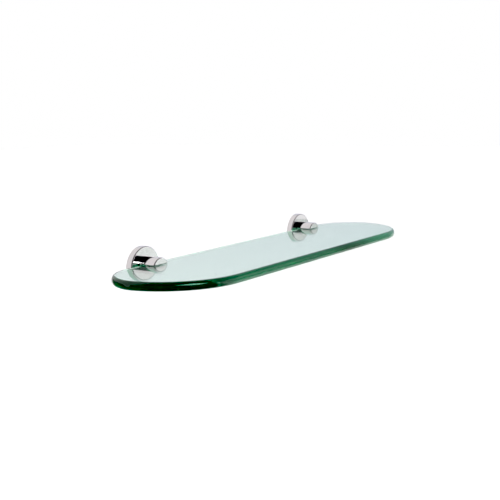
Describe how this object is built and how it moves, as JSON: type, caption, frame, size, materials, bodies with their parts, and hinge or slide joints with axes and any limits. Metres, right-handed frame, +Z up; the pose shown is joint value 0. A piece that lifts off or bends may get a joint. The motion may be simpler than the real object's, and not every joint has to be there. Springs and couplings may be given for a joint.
{
  "type": "glass wall shelf with brackets",
  "caption": "Glass wall shelf with rounded ends, clamped at its back edge in slotted round chrome posts on round wall rosettes.",
  "frame": {"origin": "on the wall plane, midway between the two brackets, at the height of the post axes and of the middle of the glass", "axes": "+X to the right along the wall as seen from the front, +Y into the wall, +Z up"},
  "size_m": [0.52, 0.1426, 0.049],
  "materials": {
    "glass": "clear float glass, faintly green, with a polished edge",
    "chrome": "polished chrome plating",
    "zinc_plate": "zinc-plated steel",
    "screw_steel": "stainless steel",
    "liner": "clear soft plastic",
    "nylon": "natural nylon"
  },
  "bodies": {
    "brackets": {"left_rosette": "chrome", "left_post": "chrome", "left_wall_plate": "zinc_plate", "left_post_screw": "screw_steel", "left_lock_washer": "screw_steel", "left_rosette_grub_screw": "screw_steel", "left_upper_liner": "liner", "left_lower_liner": "liner", "right_rosette": "chrome", "right_post": "chrome", "right_wall_plate": "zinc_plate", "right_post_screw": "screw_steel", "right_lock_washer": "screw_steel", "right_rosette_grub_screw": "screw_steel", "right_upper_liner": "liner", "right_lower_liner": "liner"},
    "pane": {"glass_shelf": "glass"},
    "left_pad": {"left_clamp_pad": "nylon"},
    "left_clamp": {"left_clamp_screw": "screw_steel"},
    "right_pad": {"right_clamp_pad": "nylon"},
    "right_clamp": {"right_clamp_screw": "screw_steel"}
  },
  "joints": [
    {"name": "pane_slide", "type": "slide", "parent": "brackets", "child": "pane", "axis": [0, -1, 0], "range_m": [0, 0.03]},
    {"name": "left_pad_travel", "type": "slide", "parent": "brackets", "child": "left_pad", "axis": [0, 0, -1], "range_m": [0, 0.0016]},
    {"name": "left_clamp_turn", "type": "hinge", "parent": "left_pad", "child": "left_clamp", "pos_m": [-0.1675, -0.0202, -0.0096], "axis": [0, 0, -1], "range_deg": [0, 720]},
    {"name": "right_pad_travel", "type": "slide", "parent": "brackets", "child": "right_pad", "axis": [0, 0, -1], "range_m": [0, 0.0016]},
    {"name": "right_clamp_turn", "type": "hinge", "parent": "right_pad", "child": "right_clamp", "pos_m": [0.1675, -0.0202, -0.0096], "axis": [0, 0, -1], "range_deg": [0, 720]}
  ],
  "couplings": [
    {"joint": "left_clamp_turn", "follows": "left_pad_travel", "rad_per_m": 7854},
    {"joint": "right_clamp_turn", "follows": "right_pad_travel", "rad_per_m": 7854}
  ]
}
